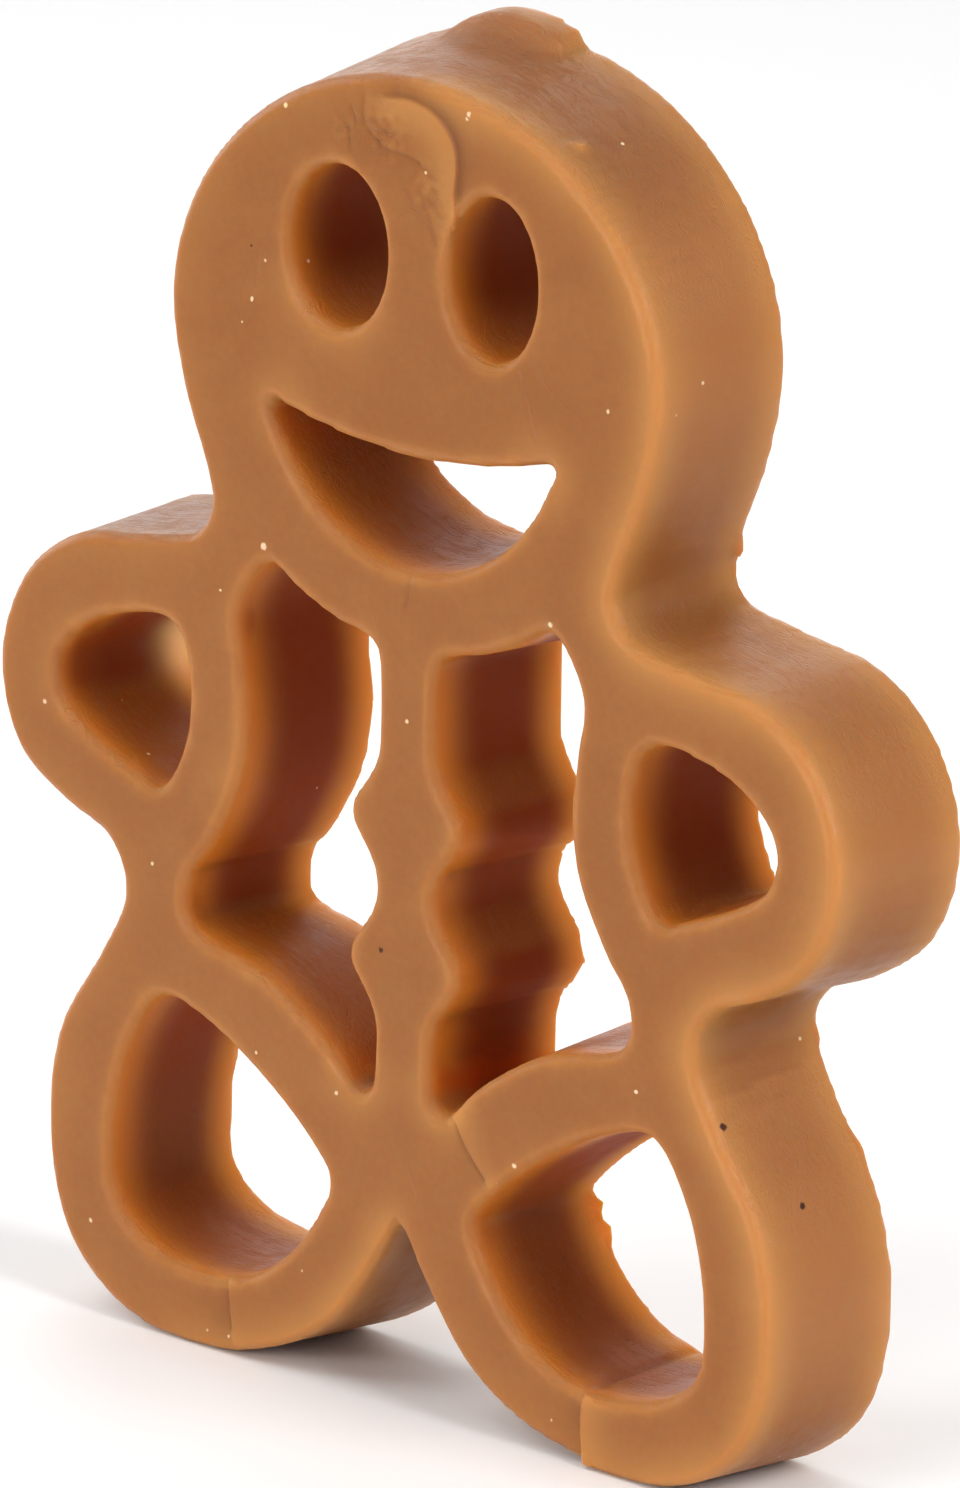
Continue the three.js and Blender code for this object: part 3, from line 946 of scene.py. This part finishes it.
def chew_material():
    material = bpy.data.materials.new("caramel_chew")
    material.use_nodes = True
    tree = material.node_tree
    shader = tree.nodes["Principled BSDF"]
    place = tree.nodes.new("ShaderNodeTexCoord").outputs["Object"]
    grain = group_node(tree, skin_grain, place)
    wrinkled_top = mask_of(tree, "looks_up", WRINKLED)
    wrinkle_share = math_node(tree, "ADD", wrinkled_top, mask_of(tree, "rough_skin", WRINKLED))
    wrinkle_share = math_node(tree, "ADD", wrinkle_share, WRINKLED_EVERYWHERE)
    tree.links.new(wrinkle_share, grain.inputs["Wrinkle Share"])
    tree.links.new(chew_colour(tree, place), shader.inputs["Base Color"])
    tree.links.new(chew_normal(tree, place, grain), shader.inputs["Normal"])
    rough = mapped(tree, grain.outputs["Dull"], 0.0, 1.0, SMOOTHEST, ROUGHEST)
    rough = math_node(tree, "ADD", rough, mask_of(tree, "hole_deep", DULL_IN_HOLES))
    tree.links.new(rough, shader.inputs["Roughness"])
    shader.inputs["Subsurface Weight"].default_value = 1.0
    shader.inputs["Subsurface Radius"].default_value = LIGHT_REACH
    shader.inputs["Subsurface Scale"].default_value = REACH_MM * MM
    shader.inputs["IOR"].default_value = LIGHT_BEND
    shader.inputs["Specular IOR Level"].default_value = SHEEN
    return material


figure.data.materials.append(chew_material())
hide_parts(NODE)
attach(figure, "root")
print("material has", len(figure.data.materials[0].node_tree.nodes), "nodes")

# %% [markdown]
# The figure was photographed on white, in a light tent. A wide, pale floor gives the same even
# surround from below, and it reaches past the edges of the picture.

# %% Floor
FLOOR_RADIUS = 2.7
FLOOR_TINT = colour_of(252, 252, 252)
FLOOR_ROUGH = 0.9


def floor_material():
    material = bpy.data.materials.new("pale_floor")
    material.use_nodes = True
    shader = material.node_tree.nodes["Principled BSDF"]
    shader.inputs["Base Color"].default_value = FLOOR_TINT
    shader.inputs["Roughness"].default_value = FLOOR_ROUGH
    return material


def round_floor():
    work = bmesh.new()
    bmesh.ops.create_circle(work, cap_ends=True, segments=96, radius=FLOOR_RADIUS)
    mesh = bpy.data.meshes.new("floor")
    work.to_mesh(mesh)
    work.free()
    plane = bpy.data.objects.new("floor", mesh)
    bpy.context.scene.collection.objects.link(plane)
    mesh.materials.append(floor_material())


round_floor()
print("floor reaches", FLOOR_RADIUS, "metres")

# %% [markdown]
# Six soft lights and a faint white surround stand for the light tent: one straight down on the
# floor, one above and one in front for the face, one on each side for the walls, and a low one
# behind, which puts the pale sheen on every surface that looks up.

# %% Lights: name, place in metres, width in metres, spread in degrees, power
LIGHTS = [
    ("floor_behind", (-0.3, 0.4, 0.8), 0.5, 180.0, 1.9),
    ("above_front", (-0.2, -0.5, 0.9), 0.6, 120.0, 1.3),
    ("front", (0.0, -1.25, 0.4), 0.7, 75.0, 1.8),
    ("above_right", (0.95, 0.0, 0.7), 0.6, 75.0, 1.85),
    ("back_left", (-0.8, 0.9, 0.35), 0.8, 100.0, 1.5),
    ("left", (-1.2, 0.0, 0.4), 0.7, 75.0, 1.1),
]
AIM = Vector((0.0, 0.0, 0.055))
SURROUND = 0.18

for name, place, width, spread_angle, watts in LIGHTS:
    lamp = bpy.data.lights.new(name, "AREA")
    lamp.shape = "SQUARE"
    lamp.size = width
    lamp.energy = watts
    lamp.spread = math.radians(spread_angle)
    holder = bpy.data.objects.new(name, lamp)
    holder.location = place
    aim = Vector((place[0], place[1], 0.0)) if name == "floor_behind" else AIM
    holder.rotation_euler = (aim - Vector(place)).to_track_quat("-Z", "Y").to_euler()
    holder.visible_camera = False
    bpy.context.scene.collection.objects.link(holder)

world = bpy.data.worlds.new("tent")
bpy.context.scene.world = world
world.use_nodes = True
backdrop = world.node_tree.nodes["Background"]
backdrop.inputs["Color"].default_value = (1.0, 1.0, 1.0, 1.0)
backdrop.inputs["Strength"].default_value = SURROUND
bpy.context.scene.view_settings.view_transform = "Standard"
print("lights:", [name for name, *_ in LIGHTS])

# %% [markdown]
# The camera stood to the right as we look at the figure's face, a little above it and nearly a metre
# off, with a long lens. These numbers come from matching the mirrored outlines of the real piece:
# eyes, arms and legs only fall on each other for one direction of view.

# %% Camera
AZIMUTH = math.radians(44.0)
ELEVATION = math.radians(14.85)
ROLL = math.radians(0.863)
CAMERA_AWAY = 0.9059
AIM_X = 8.28
AIM_Z = 55.62
FOCAL_MM = 285.35
SENSOR_MM = 36.0
NEAR_CLIP = 0.01
FAR_CLIP = 20.0

back = Vector((
    math.sin(AZIMUTH) * math.cos(ELEVATION),
    -math.cos(AZIMUTH) * math.cos(ELEVATION),
    math.sin(ELEVATION),
))
level = Vector((math.cos(AZIMUTH), math.sin(AZIMUTH), 0.0))
rise = back.cross(level)
right = math.cos(ROLL) * level + math.sin(ROLL) * rise
upward = math.cos(ROLL) * rise - math.sin(ROLL) * level
lens = bpy.data.cameras.new("camera")
lens.sensor_fit = "AUTO"
lens.sensor_width = SENSOR_MM
lens.lens = FOCAL_MM
lens.clip_start = NEAR_CLIP
lens.clip_end = FAR_CLIP
camera = bpy.data.objects.new("camera", lens)
bpy.context.scene.collection.objects.link(camera)
spot = Vector((AIM_X * MM, FACE_Y * MM, AIM_Z * MM)) + back * CAMERA_AWAY
turned = Matrix((right, upward, back)).transposed().to_4x4()
camera.matrix_world = Matrix.Translation(spot) @ turned
bpy.context.scene.camera = camera
print("camera stands at", [round(value, 3) for value in spot], "metres")
